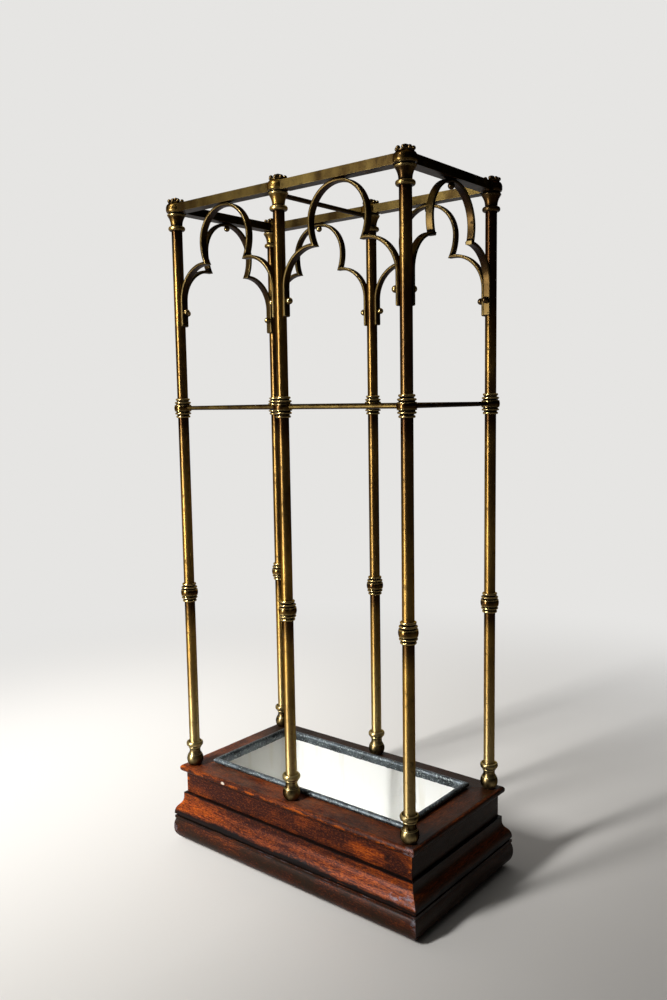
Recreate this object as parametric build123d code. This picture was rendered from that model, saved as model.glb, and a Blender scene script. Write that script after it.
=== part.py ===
from build123d import *
import os

# Gothic-revival brass stick stand: six turned columns and trefoil arches on a moulded wooden plinth,
# with a lift-out zinc drip tray. Millimetres, +Z up, X along the length, front towards -Y.
# The origin is at the centre of the underside.

# Plan of the columns: two square bays in a row.
BAY = 143.0
HALF_LENGTH = BAY
HALF_WIDTH = BAY / 2

# Plinth. "Out" values are measured outwards from the line through the column centres.
PLINTH_HEIGHT = 86.0
TOP_THICKNESS = 8.0
TOP_OUT = 12.0
TOP_NOSE_R = 3.0
LONG_TOP_IN = 17.0
END_TOP_IN = 19.5
FRIEZE_OUT = 6.8
FRIEZE_THICKNESS = 14.0
OGEE_TOP = 54.0
OGEE_FILLET_OUT = 9.8
OGEE_FILLET_HEIGHT = 5.0
OGEE_OUT = 17.4
OGEE_TURN_Z = 40.5
OGEE_LEAN = (0.15, -1)
BASE_HEIGHT = 30.0
QUIRK_DEPTH = 2.0
QUIRK_OUT = 15.5
BASE_FILLET_OUT = 17.4
BASE_FILLET_HEIGHT = 3.0
BASE_OUT = 18.4
BASE_ROLL_TOP_OUT = 16.4
BASE_ROLL_SIDE_Z = 15.5
BASE_SOLE_OUT = 8.0
BOTTOM_THICKNESS = 8.0
BOTTOM_Z = 3.0
BLOCK_SIZE = 11.0

# Columns: heights in this block are above the top of the plinth.
TUBE_R = 5.55
TUBE_BORE_R = 4.5
LOWER_COLLAR_Z = 193.1
MID_COLLAR_Z = 390.6
ASTRAGAL_Z = 574.3
BOSS_Z = 590.4
BOSS_HEIGHT = 9.4
BOSS_R = 10.4
FINIAL_THREAD = 3.4

# Outsides of the turned castings, as radius and height. A foot's heights are above the plinth.
FOOT = (
    (6.3, 0),
    (8.6, 4.4),
    (8.7, 8.6),
    (7.3, 12.4),
    (6.0, 16.2),
    (6.0, 21.2),
    (8.7, 21.9),
    (9.0, 24.2),
    (7.9, 26.6),
    (6.0, 25.2),
)
# The upper half of a collar, from the end ring to the barrel, above the collar's middle.
HALF_COLLAR = (
    (7.4, 10.1),
    (7.4, 7.2),
    (8.35, 6.5),
    (8.35, 3.9),
    (9.1, 3.3),
)
# The astragal, above its own middle.
ASTRAGAL = (
    (6.4, -2.4),
    (8.4, -1.0),
    (8.4, 1.2),
    (6.0, 2.6),
)
# The bell of the capital and its lip, below the boss.
BELL = (
    (6.0, 11.0),
    (6.7, 7.4),
    (7.9, 4.6),
    (9.3, 2.8),
    (9.3, 0),
)
# The bun that the top rails die into, above its own underside.
BOSS = (
    (9.7, 0),
    (BOSS_R, 2.2),
    (BOSS_R, 4.8),
    (9.3, 7.6),
    (7.0, BOSS_HEIGHT),
)
# The finial nut, above the boss.
FINIAL = (
    (8.0, 0),
    (8.0, 2.4),
    (3.6, 3.2),
    (3.2, 4.8),
    (1.8, 5.8),
)

# Top rails, mid rods and the bar across the middle.
RAIL_Z = 589.7
RAIL_HEIGHT = 8.5
RAIL_DEPTH = 12.7
MID_ROD_R = 2.1
CROSS_BAR_R = 2.3
CROSS_BAR_Z = 587.0

# Trefoil arches, bent from flat bar and stood between the columns.
STRIP_THICKNESS = 3.2
STRIP_WIDTH = 8.0
LOBE_FOOT_R = 47.0
SIDE_LOBE_R = 36.0
LEG_END_Z = 474.7
LEG_ROUND = 1.5
# Each was bent by hand, so the radius of its top lobe and the height of its cusps differ a little.
ARCHES = {
    "front_left": (34.0, 533.5),
    "front_right": (34.0, 534.5),
    "back_left": (34.5, 536.5),
    "back_right": (34.0, 534.0),
    "left_end": (34.5, 533.5),
    "right_end": (36.5, 537.0),
}

# Tie rods, screwed into the frieze boards and held by the finials.
TIE_ROD_R = 2.4
ROD_HOLE_R = 2.8
ROD_DEPTH = 36.0

# Drip tray of folded zinc with a wired edge.
TRAY_GAP = 0.5
TRAY_REST_GAP = 0.2
TRAY_FLOOR_Z = 16.0
SHEET = 0.9
ROLL_R = 2.8

COLUMNS = {
    "front_left": (-HALF_LENGTH, -HALF_WIDTH),
    "front_middle": (0, -HALF_WIDTH),
    "front_right": (HALF_LENGTH, -HALF_WIDTH),
    "back_left": (-HALF_LENGTH, HALF_WIDTH),
    "back_middle": (0, HALF_WIDTH),
    "back_right": (HALF_LENGTH, HALF_WIDTH),
}

# The middle of each side of a bay, and the turn that lays a piece made along X into it.
BAYS = {
    "front_left": (-BAY / 2, -HALF_WIDTH, 0),
    "front_right": (BAY / 2, -HALF_WIDTH, 0),
    "back_left": (-BAY / 2, HALF_WIDTH, 180),
    "back_right": (BAY / 2, HALF_WIDTH, 180),
    "left_end": (-HALF_LENGTH, 0, 90),
    "right_end": (HALF_LENGTH, 0, 90),
}

# Each side of the plinth: half its column line, that line's distance from the centre, and its turn.
SIDES = {
    "front": (HALF_LENGTH, HALF_WIDTH, 0),
    "right": (HALF_WIDTH, HALF_LENGTH, 90),
    "back": (HALF_LENGTH, HALF_WIDTH, 180),
    "left": (HALF_WIDTH, HALF_LENGTH, 270),
}


def turned(bore, outside, start=0.0):
    """A piece turned about Z from its outside, bored through, its heights above a start on the column."""
    low, high = outside[0][1], outside[-1][1]
    section = Plane.XZ * Polygon((bore, low), *outside, (bore, high), align=None)
    return Pos(0, 0, PLINTH_HEIGHT + start) * revolve(section, Axis.Z)


def at_columns(piece):
    """The same piece on all six columns, as separate solids."""
    return Compound(children=[Pos(x, y, 0) * piece for x, y in COLUMNS.values()])


def at_bay(piece, bay):
    """A piece made along X about the origin, laid in one side of a bay."""
    x, y, turn = BAYS[bay]
    return Pos(x, y, 0) * Rot(0, 0, turn) * piece


def tube():
    """Brass tube from the plinth to the boss."""
    wall = Circle(TUBE_R) - Circle(TUBE_BORE_R)
    return extrude(Pos(0, 0, PLINTH_HEIGHT) * wall, BOSS_Z)


def foot():
    """Pear-shaped foot with a heavy ring on its neck."""
    return turned(TUBE_R, FOOT)


def collar(height, bore=TUBE_R):
    """Barrel collar with two rings at each end, centred at a height on the column."""
    lower_half = tuple((radius, -rise) for radius, rise in HALF_COLLAR)
    return turned(bore, lower_half + HALF_COLLAR[::-1], height)


def capital(bore=TUBE_R):
    """Bell capital over an astragal."""
    astragal = tuple((radius, ASTRAGAL_Z - BOSS_Z + rise) for radius, rise in ASTRAGAL)
    bell = tuple((radius, -drop) for radius, drop in BELL)
    return turned(bore, astragal + bell, BOSS_Z)


def boss(bore=ROD_HOLE_R):
    """Bun at the head of a column, that the top rails die into."""
    return turned(bore, BOSS, BOSS_Z)


def finial():
    """Knobbed nut that screws down on the tie rod."""
    return turned(0, FINIAL, BOSS_Z + BOSS_HEIGHT) - tie_rod()


def tie_rod():
    """Iron rod inside the tube, from the frieze board up into the finial."""
    low = PLINTH_HEIGHT - ROD_DEPTH
    top = PLINTH_HEIGHT + BOSS_Z + BOSS_HEIGHT + FINIAL_THREAD
    return extrude(Pos(0, 0, low) * Circle(TIE_ROD_R), top - low)


def coped(bar, *heads):
    """A bar made along X in the middle of a bay, its ends cut to the pieces of the columns they meet."""
    for x in (-BAY / 2, BAY / 2):
        for head in heads:
            bar -= Pos(x, 0, 0) * head
    return bar


def top_rail():
    """Flat rail between two bosses."""
    rail = extrude(Pos(0, 0, PLINTH_HEIGHT + RAIL_Z) * Rectangle(BAY, RAIL_DEPTH), RAIL_HEIGHT)
    shank = extrude(Pos(0, 0, PLINTH_HEIGHT + RAIL_Z) * Circle(BOSS_R), BOSS_Z - RAIL_Z)
    return coped(rail, boss(bore=0), shank)


def mid_rod():
    """Thin rod between two mid collars."""
    rod = Pos(0, 0, PLINTH_HEIGHT + MID_COLLAR_Z) * Rot(0, 90, 0) * Cylinder(MID_ROD_R, BAY)
    return coped(rod, collar(MID_COLLAR_Z, bore=0))


def cross_bar():
    """Round bar that parts the two cells at the top, between the middle capitals."""
    bar = Pos(0, 0, PLINTH_HEIGHT + CROSS_BAR_Z) * Rot(0, 90, 0) * Cylinder(CROSS_BAR_R, BAY)
    return Rot(0, 0, 90) * coped(bar, capital(bore=0))


def arch(lobe_r, cusp_z):
    """Trefoil arch: a horseshoe lobe over two quarter lobes that run down into legs."""
    leg_out = BAY / 2 - TUBE_R
    corner = (Align.MIN, Align.MIN)
    lobe_z = RAIL_Z - lobe_r
    crown = Rectangle(lobe_r, lobe_r, align=corner) & Circle(lobe_r)
    crown -= Circle(lobe_r - STRIP_THICKNESS)
    foot_x = lobe_r - LOBE_FOOT_R
    foot_bore = Pos(foot_x, lobe_z) * Circle(LOBE_FOOT_R - STRIP_THICKNESS)
    lobe_foot = Pos(foot_x, lobe_z) * Circle(LOBE_FOOT_R) - foot_bore
    lobe_foot &= Pos(0, cusp_z) * Rectangle(lobe_r, lobe_z - cusp_z, align=corner)

    side_x = leg_out - SIDE_LOBE_R
    side_z = cusp_z + STRIP_THICKNESS - SIDE_LOBE_R
    side_lobe = Rectangle(SIDE_LOBE_R, SIDE_LOBE_R, align=corner) & Circle(SIDE_LOBE_R)
    side_lobe -= Circle(SIDE_LOBE_R - STRIP_THICKNESS)
    tip = Rectangle(lobe_r / 2, STRIP_THICKNESS, align=(Align.MAX, Align.MIN))
    leg = Rectangle(STRIP_THICKNESS, side_z - LEG_END_Z, align=(Align.MAX, Align.MIN))
    leg = fillet(leg.vertices().group_by(Axis.Y)[0].sort_by(Axis.X)[0], LEG_ROUND)
    half = Pos(0, lobe_z) * crown + lobe_foot
    half += Pos(side_x, side_z) * side_lobe
    half += Pos(side_x, cusp_z) * tip - foot_bore
    half += Pos(leg_out, LEG_END_Z) * leg
    outline = half + mirror(half, Plane.YZ)
    return Pos(0, 0, PLINTH_HEIGHT) * extrude(Plane.XZ * outline, STRIP_WIDTH / 2, both=True)


def mitred(outline, half_run, stand_off):
    """One front length of a frame, its ends mitred, from its section of out-distance and height."""
    section = Plane((0, -stand_off, 0), x_dir=(0, -1, 0), z_dir=(-1, 0, 0)) * outline
    reach = HALF_WIDTH / 2
    mitres = Polygon(
        (-half_run - reach, -stand_off - reach),
        (half_run + reach, -stand_off - reach),
        (half_run - reach, -stand_off + reach),
        (-half_run + reach, -stand_off + reach),
        align=None,
    )
    return extrude(section, half_run + reach, both=True) & extrude(mitres, PLINTH_HEIGHT)


def around(side, outline):
    """A mitred length in its place on one side of the plinth."""
    half_run, stand_off, turn = SIDES[side]
    return Rot(0, 0, turn) * mitred(outline, half_run, stand_off)


def bored(board):
    """A board with the tie rods' holes where they pass into it."""
    depth = PLINTH_HEIGHT - ROD_DEPTH
    for x, y in COLUMNS.values():
        board -= extrude(Pos(x, y, depth) * Circle(TIE_ROD_R), ROD_DEPTH)
    return board


def top_board(side):
    """One length of the top frame, with a rounded nose."""
    inside = LONG_TOP_IN if side in ("front", "back") else END_TOP_IN
    low = PLINTH_HEIGHT - TOP_THICKNESS
    board = Pos(TOP_OUT, low) * Rectangle(TOP_OUT + inside, TOP_THICKNESS, align=(Align.MAX, Align.MIN))
    board = fillet(board.vertices().group_by(Axis.X)[-1], TOP_NOSE_R)
    return bored(around(side, board))


def frieze_board(side):
    """One length of the frieze, standing between the base moulding and the top."""
    height = PLINTH_HEIGHT - TOP_THICKNESS - BASE_HEIGHT
    board = Pos(FRIEZE_OUT, BASE_HEIGHT) * Rectangle(
        FRIEZE_THICKNESS, height, align=(Align.MAX, Align.MIN)
    )
    return bored(around(side, board))


def ogee_moulding(side):
    """One length of the ogee moulding planted on the frieze: a fillet, a hollow and a round."""
    shoulder = OGEE_TOP - OGEE_FILLET_HEIGHT
    turn_point = ((OGEE_FILLET_OUT + OGEE_OUT) / 2, OGEE_TURN_Z)
    hollow = TangentArc((OGEE_FILLET_OUT, shoulder), turn_point, tangent=OGEE_LEAN)
    swell = TangentArc(turn_point, (OGEE_OUT, BASE_HEIGHT), tangent=hollow % 1)
    back = Polyline(
        (OGEE_OUT, BASE_HEIGHT),
        (FRIEZE_OUT, BASE_HEIGHT),
        (FRIEZE_OUT, OGEE_TOP),
        (OGEE_FILLET_OUT, OGEE_TOP),
        (OGEE_FILLET_OUT, shoulder),
    )
    return around(side, make_face(Curve() + [hollow, swell, back]))


def base_moulding(side):
    """One length of the base moulding: a quirk and a fillet over a heavy roll."""
    back = FRIEZE_OUT - FRIEZE_THICKNESS
    shoulder = BASE_HEIGHT - QUIRK_DEPTH - BASE_FILLET_HEIGHT
    roll_top = (BASE_ROLL_TOP_OUT, shoulder)
    roll_side = (BASE_OUT, BASE_ROLL_SIDE_Z)
    sole = (BASE_SOLE_OUT, 0)
    upper = TangentArc(roll_side, roll_top, tangent=(0, 1))
    lower = TangentArc(roll_side, sole, tangent=(0, -1))
    rest = Polyline(
        sole,
        (back, 0),
        (back, BASE_HEIGHT),
        (QUIRK_OUT, BASE_HEIGHT),
        (QUIRK_OUT, BASE_HEIGHT - QUIRK_DEPTH),
        (BASE_FILLET_OUT, BASE_HEIGHT - QUIRK_DEPTH),
        (BASE_FILLET_OUT, shoulder),
        roll_top,
    )
    return around(side, make_face(Curve() + [upper, lower, rest]))


def bottom_board():
    """Board let in between the base mouldings, under the tray."""
    inside = FRIEZE_THICKNESS - FRIEZE_OUT
    board = Rectangle((HALF_LENGTH - inside) * 2, (HALF_WIDTH - inside) * 2)
    return extrude(Pos(0, 0, BOTTOM_Z) * board, BOTTOM_THICKNESS)


def glue_blocks():
    """Four three-cornered blocks that stiffen the mitres of the frieze."""
    inside = FRIEZE_THICKNESS - FRIEZE_OUT
    x, y = HALF_LENGTH - inside, HALF_WIDTH - inside
    corner = Polygon((x, y), (x - BLOCK_SIZE, y), (x, y - BLOCK_SIZE), align=None)
    block = extrude(Pos(0, 0, BASE_HEIGHT) * corner, PLINTH_HEIGHT - TOP_THICKNESS - BASE_HEIGHT)
    across = mirror(block, Plane.YZ)
    return Compound(children=[block, across, mirror(block, Plane.XZ), mirror(across, Plane.XZ)])


def tray_outside():
    """Half the tray's length and width outside its walls."""
    return HALF_LENGTH - END_TOP_IN - TRAY_GAP, HALF_WIDTH - LONG_TOP_IN - TRAY_GAP


def around_tray_edge(section):
    """A bar of the given section, mitred round the tray, centred where its edge is rolled."""
    x, y = (half + ROLL_R - SHEET for half in tray_outside())
    z = PLINTH_HEIGHT + TRAY_REST_GAP + ROLL_R
    path = Polyline((0, -y, z), (x, -y, z), (x, y, z), (-x, y, z), (-x, -y, z), (0, -y, z))
    start = Plane((0, -y, z), x_dir=(0, 1, 0), z_dir=(1, 0, 0))
    return sweep(start * section, path=path, transition=Transition.RIGHT)


def tray_liner():
    """Folded zinc pan whose top edge rolls outwards round a wire and rests on the plinth."""
    x, y = tray_outside()
    outside = Rectangle(x * 2, y * 2)
    height = PLINTH_HEIGHT + TRAY_REST_GAP + ROLL_R - TRAY_FLOOR_Z
    pan = extrude(Pos(0, 0, TRAY_FLOOR_Z) * outside, height)
    inside = offset(outside, -SHEET, kind=Kind.INTERSECTION)
    pan -= extrude(Pos(0, 0, TRAY_FLOOR_Z + SHEET) * inside, height)
    roll = around_tray_edge(Circle(ROLL_R)) - around_tray_edge(Circle(ROLL_R - SHEET))
    return pan + roll


def tray_wire():
    """Stiffening wire inside the rolled edge."""
    return around_tray_edge(Circle(ROLL_R - SHEET))


nodes = {
    "feet": at_columns(foot()),
    "lower_collars": at_columns(collar(LOWER_COLLAR_Z)),
    "mid_collars": at_columns(collar(MID_COLLAR_Z)),
    "capitals": at_columns(capital()),
    "bosses": at_columns(boss()),
    "finial_nuts": at_columns(finial()),
    "tie_rods": at_columns(tie_rod()),
    "top_cross_bar": cross_bar(),
    "mid_cross_rod": Rot(0, 0, 90) * mid_rod(),
    "bottom_board": bottom_board(),
    "glue_blocks": glue_blocks(),
    "tray_liner": tray_liner(),
    "tray_wire": tray_wire(),
}
for name, (x, y) in COLUMNS.items():
    nodes[f"column_tube_{name}"] = Pos(x, y, 0) * tube()
for name in BAYS:
    nodes[f"arch_{name}"] = at_bay(arch(*ARCHES[name]), name)
    nodes[f"top_rail_{name}"] = at_bay(top_rail(), name)
    nodes[f"mid_rod_{name}"] = at_bay(mid_rod(), name)
for name in SIDES:
    nodes[f"plinth_top_{name}"] = top_board(name)
    nodes[f"plinth_frieze_{name}"] = frieze_board(name)
    nodes[f"plinth_ogee_{name}"] = ogee_moulding(name)
    nodes[f"plinth_base_{name}"] = base_moulding(name)

os.makedirs("parts", exist_ok=True)
for name, shape in nodes.items():
    export_step(shape, f"parts/{name}.step")
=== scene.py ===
"""Brass stick stand: turned columns, trefoil arches, a stained plinth and a lift-out drip tray."""

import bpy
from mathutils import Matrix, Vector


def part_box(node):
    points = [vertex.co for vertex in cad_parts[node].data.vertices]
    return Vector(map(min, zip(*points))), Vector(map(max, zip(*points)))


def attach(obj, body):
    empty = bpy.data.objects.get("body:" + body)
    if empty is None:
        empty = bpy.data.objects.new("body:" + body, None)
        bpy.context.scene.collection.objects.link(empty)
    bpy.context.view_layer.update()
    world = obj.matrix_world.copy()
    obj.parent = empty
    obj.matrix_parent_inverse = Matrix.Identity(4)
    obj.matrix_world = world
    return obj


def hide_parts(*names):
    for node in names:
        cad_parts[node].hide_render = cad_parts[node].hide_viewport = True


bl_info = {
    "name": "Brass Stick Stand",
    "version": (1, 0, 0),
    "blender": (4, 5, 0),
    "location": "3D View > Sidebar > Stick Stand",
    "description": "Dresses the stick stand's frame with brass, stained wood, zinc and a studio",
    "category": "Object",
}

import math
from functools import partial
from types import SimpleNamespace

import bmesh
import bpy
from bpy.props import FloatProperty, FloatVectorProperty, IntProperty, PointerProperty
from mathutils import Matrix, Vector, noise

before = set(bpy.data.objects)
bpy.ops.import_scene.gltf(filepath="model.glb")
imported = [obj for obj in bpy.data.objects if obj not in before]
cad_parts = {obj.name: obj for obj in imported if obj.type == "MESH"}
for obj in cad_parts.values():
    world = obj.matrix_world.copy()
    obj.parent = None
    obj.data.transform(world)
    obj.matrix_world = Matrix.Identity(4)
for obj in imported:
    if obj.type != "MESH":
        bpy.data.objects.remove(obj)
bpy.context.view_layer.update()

# A millimetre, and how near two points must be to count as one.
MM = 0.001
WELD = 1e-6
CORNERS = ((-1, -1), (1, -1), (1, 1), (-1, 1))

# Sockets of the Mix node when it mixes colours and when it mixes numbers, and of the MapRange node.
AMOUNT, UNDER, OVER = 0, 6, 7
LOW, HIGH = 2, 3
COLOURS = {"data_type": "RGBA", "output": 2}
FADE = ("Value", "From Min", "From Max", "To Min", "To Max")

# Where the studio's light comes from: above, behind and the left.
LIT_SIDE = tuple(Vector((-0.75, 0.25, 0.6)).normalized())


# ---------------------------------------------------------------- places, read from the frame


def middle(node):
    """The centre of a node's box."""
    low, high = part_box(node)
    return (low + high) / 2


def height(node, end):
    """The height of a node's underside (0) or top (1)."""
    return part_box(node)[end].z


def levels(node):
    """The heights of a node's underside and top, in millimetres."""
    return [corner.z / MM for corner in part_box(node)]


def named(start):
    """The nodes whose names start like this."""
    return [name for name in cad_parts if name.startswith(start)]


COLUMNS = {name.removeprefix("column_tube_"): middle(name) for name in named("column_tube_")}
HALF_LENGTH = max(place.x for place in COLUMNS.values())
HALF_WIDTH = max(place.y for place in COLUMNS.values())
PLINTH_TOP = height("plinth_top_front", 1)
TUBE_LOW, TUBE_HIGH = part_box("column_tube_front_left")
TUBE_R = (TUBE_HIGH.x - TUBE_LOW.x) / 2
BORE = TUBE_R / MM
COLLAR_LOW = height("lower_collars", 0)
COLLAR_STEP = height("mid_collars", 0) - COLLAR_LOW
FINIAL_LOW = height("finial_nuts", 0)

# Each side of the plinth: its half run between corner columns, its distance out, and its turn.
SIDES = {
    "front": (HALF_LENGTH, HALF_WIDTH, 0),
    "right": (HALF_WIDTH, HALF_LENGTH, 90),
    "back": (HALF_LENGTH, HALF_WIDTH, 180),
    "left": (HALF_WIDTH, HALF_LENGTH, 270),
}


def linear(hex_colour):
    """An sRGB hex colour as the linear one that Blender works in."""
    parts = (int(hex_colour[i : i + 2], 16) / 255 for i in (1, 3, 5))
    return (*(c / 12.92 if c <= 0.04045 else ((c + 0.055) / 1.055) ** 2.4 for c in parts), 1.0)


def per_mm(size):
    """The texture scale that gives a pattern features of this many millimetres."""
    return 1 / (size * MM)


def colour(label, words, hex_colour):
    """A colour that the user can change."""
    return FloatVectorProperty(
        name=label, description=words, subtype="COLOR", size=4, min=0, max=1, default=linear(hex_colour)
    )


def length(label, words, millimetres):
    """A length that the user can change."""
    return FloatProperty(name=label, description=words, unit="LENGTH", min=0, default=millimetres * MM)


def number(label, words, value, low=0.0, high=1.0):
    """A plain number that the user can change."""
    return FloatProperty(name=label, description=words, default=value, min=low, max=high)


def angle(label, words, degrees):
    """An angle that the user can change."""
    return FloatProperty(name=label, description=words, subtype="ANGLE", default=math.radians(degrees))


# ---------------------------------------------------------------- what a user can change


class BrassSettings(bpy.types.PropertyGroup):
    """Colours of the aged brass and of the iron."""

    film: colour("Film", "Brown film on brass that is never touched", "#422e1a")
    rubbed: colour("Rubbed", "Yellow brass where dusters have kept it brighter", "#c69d50")
    bar_film: colour("Bar film", "Olive film on the flat bars", "#382a15")
    bar_rubbed: colour("Bar rubbed", "Paler brass on the faces and edges of the bars", "#786536")
    # On the crests this pale colour is a painted highlight, and low on the tubes partly a painted reflection
    # of the lit floor.
    dulled_and_highlight: colour("Dulled", "Paler brass near the plinth and on the crests", "#ccb782")
    # Tarnish also paints the shade on what faces down and on the back right corner column's top.
    tarnish: colour("Tarnish", "Red-brown tarnish where no cloth reaches", "#26120a")
    grime: colour("Grime", "Black polish and dirt in the grooves", "#0a0704")
    iron: colour("Iron", "Tie rods and tray wire", "#2a2521")
    rust: colour("Rust", "Rust on the iron", "#5a3420")


class WoodSettings(bpy.types.PropertyGroup):
    """Colours of the stained and French-polished plinth."""

    stain: colour("Stain", "Dark red-brown stain under the polish", "#371409")
    warm: colour("Warm", "Redder wood where the polish is thin", "#78300f")
    worn: colour("Worn", "Orange wood where the polish is rubbed away", "#c35c0d")
    dust: colour("Dust", "Grey bloom on the top faces", "#5a4a3d")
    bloom: colour("Bloom", "Blue-grey bloom on knocked edges", "#807c84")
    dirt: colour("Dirt", "Brown-black floor dirt on the base", "#1f150a")
    chip: colour("Chip", "Pale wood inside a fresh chip", "#e4d9c6")
    grime: colour("Grime", "Black wax in the quirks", "#080504")
    bare: colour("Bare", "Unpolished softwood underneath", "#7d6344")
    latewood: colour("Latewood", "Darker rings of the softwood", "#4e3a26")


class TraySettings(bpy.types.PropertyGroup):
    """Colours of the drip tray."""

    zinc: colour("Zinc", "Dull blue-grey zinc", "#50585d")
    oxide: colour("Oxide", "White bloom on the zinc", "#9ca7a6")
    soot: colour("Soot", "Dark stains on the zinc", "#1d2123")
    paint: colour("Paint", "White paint inside the tray", "#f5f5f1")
    stained_paint: colour("Stained paint", "Paint yellowed by water", "#cfc7a6")
    paint_line: length("Bare edge", "Height of bare zinc above the paint", 9.0)


class TurningSettings(bpy.types.PropertyGroup):
    """Sizes of the turned work and of the bars."""

    steps: IntProperty(name="Steps", description="Facets round a turned piece", default=72, min=12, max=256)
    bead_count: IntProperty(name="Beads", description="Beads round each finial", default=8, min=3, max=16)
    bead_size: length("Bead", "Diameter of a finial bead", 3.9)
    screw_size: length("Screw", "Diameter of an arch screw's ball head", 6.4)
    rail_edge: length("Rail edge", "Rounding along the edges of the top rails", 0.6)
    arch_edge: length("Arch edge", "Rounding along the edges of the arches' bar", 1.35)


class StageSettings(bpy.types.PropertyGroup):
    """The camera, the lamp and the floor."""

    camera_place: FloatVectorProperty(
        name="Camera", description="Where the camera stands", subtype="TRANSLATION",
        unit="LENGTH", default=(0.5751, -0.6974, 0.4835),
    )
    azimuth: angle("Azimuth", "Turn of the camera round the stand, from the front", 39.43)
    pitch: angle("Pitch", "How far the camera looks down", 6.5)
    roll: angle("Roll", "Lean of the camera", -0.926)
    lens: number("Lens", "Focal length on a 36 mm frame", 31.87, 1, 500)
    lamp_turn: angle("Lamp turn", "Turn of the lamp round the stand, from the front", -17)
    lamp_rise: angle("Lamp rise", "Height of the lamp over the floor, as an angle", 37)
    lamp_power: number("Lamp power", "Watts of the lamp", 11.8, 0, 1000)
    lamp_aim: length("Lamp aim", "How far to the left of the stand the lamp points", 600)
    lamp_spread: angle("Lamp spread", "Spread of the lamp's light, which a grid keeps narrow", 50)
    strip_turn: angle("Strip turn", "Turn of the strip round the stand, from the front", -22)
    strip_power: number("Strip power", "Watts of the strip", 24, 0, 1000)
    floor: colour("Floor", "Pale studio floor", "#dcd9d4")
    shade: colour("Shade", "The floor's tone on the right", "#8d8782")
    backdrop: colour("Backdrop", "Pale studio backdrop", "#e6e5e3")


# ---------------------------------------------------------------- meshes


def bead(low, high, base, crest, rows=8):
    """Outline of a rounded ring between two heights, swelling from the base radius to the crest."""
    centre, half = (low + high) / 2, (high - low) / 2
    turns = [math.pi * i / rows for i in range(rows + 1)]
    return [(base + (crest - base) * math.sin(a), centre - half * math.cos(a)) for a in turns]


def bowed(start, end, bulge, rows=8):
    """Outline from one (radius, height) to another that swells outwards, or inwards below zero."""
    start, end = Vector(start), Vector(end)
    out = Vector((end.y - start.y, start.x - end.x)).normalized()
    steps = [i / rows for i in range(rows + 1)]
    return [tuple(start.lerp(end, t) + out * bulge * 4 * t * (1 - t)) for t in steps]


def flared(start, end, rows=12, power=2.2):
    """Outline that stays slim and then opens quickly, as a trumpet does."""
    (r0, z0), (r1, z1) = start, end
    steps = [i / rows for i in range(rows + 1)]
    return [(r0 + (r1 - r0) * t**power, z0 + (z1 - z0) * t) for t in steps]


def mesh_of(name, bm):
    """The mesh that a bmesh becomes."""
    mesh = bpy.data.meshes.new(name)
    bm.to_mesh(mesh)
    bm.free()
    return mesh


def placed(name, data):
    """An object of a mesh, a light or a camera, in the scene."""
    thing = bpy.data.objects.new(name, data)
    bpy.context.scene.collection.objects.link(thing)
    return thing


def turned(outline, steps):
    """A solid turned about Z from a closed outline of radius and height, in metres."""
    bm = bmesh.new()
    verts = [bm.verts.new((r, 0, z)) for r, z in outline]
    for a, b in zip(verts, verts[1:] + verts[:1]):
        bm.edges.new((a, b))
    bmesh.ops.spin(
        bm, geom=bm.verts[:] + bm.edges[:], cent=(0, 0, 0), axis=(0, 0, 1), dvec=(0, 0, 0),
        angle=math.tau, steps=steps, use_merge=True, use_duplicate=False,
    )
    bmesh.ops.remove_doubles(bm, verts=bm.verts, dist=WELD)
    bmesh.ops.recalc_face_normals(bm, faces=bm.faces)
    return bm


def repeated(bm, places):
    """The same shape at each of several places, in one bmesh."""
    mesh = mesh_of("pattern", bm)
    group = bmesh.new()
    for place in places:
        known = set(group.verts)
        group.from_mesh(mesh)
        bmesh.ops.translate(group, vec=place, verts=[v for v in group.verts if v not in known])
    bpy.data.meshes.remove(mesh)
    return group


def solid_copy(node, whole_faces=True):
    """A bmesh of a CAD node with its triangles welded, and its flat faces made whole if asked."""
    bm = bmesh.new()
    bm.from_mesh(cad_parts[node].data)
    bmesh.ops.remove_doubles(bm, verts=bm.verts, dist=WELD)
    if whole_faces:
        bmesh.ops.dissolve_limit(
            bm, angle_limit=math.radians(0.5), verts=bm.verts, edges=bm.edges, use_dissolve_boundaries=False
        )
    return bm


def sharp_edges(bm, sharper_than=50):
    """The edges that turn by more than an angle."""
    limit = math.radians(sharper_than)
    return [e for e in bm.edges if len(e.link_faces) == 2 and e.calc_face_angle(0) > limit]


def eased(bm, edges, width, segments=3, clamp=True):
    """Rounds some edges."""
    bmesh.ops.bevel(
        bm, geom=edges, offset=width, offset_type="OFFSET", segments=segments, profile=0.5,
        affect="EDGES", material=-1, clamp_overlap=clamp, miter_outer="ARC",
    )


def mark_wear(bm):
    """Stores where the surface stands proud (wear) and where it is hollow, from 0 to 1."""
    full_bend = 1.2
    wear = bm.verts.layers.float.new("wear")
    hollow = bm.verts.layers.float.new("hollow")
    # The end of a mitred length is one face of many sides, and its corners are hardly worn.
    bends = {
        e: e.calc_face_angle_signed(0) * (0.2 if max(len(f.verts) for f in e.link_faces) > 4 else 1)
        for e in bm.edges if len(e.link_faces) == 2
    }
    for vert in bm.verts:
        bend = sum(bends.get(e, 0) for e in vert.link_edges)
        vert[wear] = min(max(bend / full_bend, 0), 1)
        vert[hollow] = min(max(-bend / full_bend, 0), 1)


def finish_piece(name, bm, materials, body, replaced=(), flat_faces=False):
    """Makes an object of a bmesh, smooth but for its sharp edges, and seats it in the frame."""
    mark_wear(bm)
    for face in bm.faces:
        face.smooth = True
    for edge in bm.edges:
        edge.smooth = edge.calc_face_angle(0) < math.radians(40)
    mesh = mesh_of(name, bm)
    for material in materials:
        mesh.materials.append(material)
    piece = placed(name, mesh)
    if flat_faces:
        crisp = piece.modifiers.new("crisp", "WEIGHTED_NORMAL")
        crisp.keep_sharp = True
    if replaced:
        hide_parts(*replaced)
    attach(piece, body)
    return piece


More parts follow.
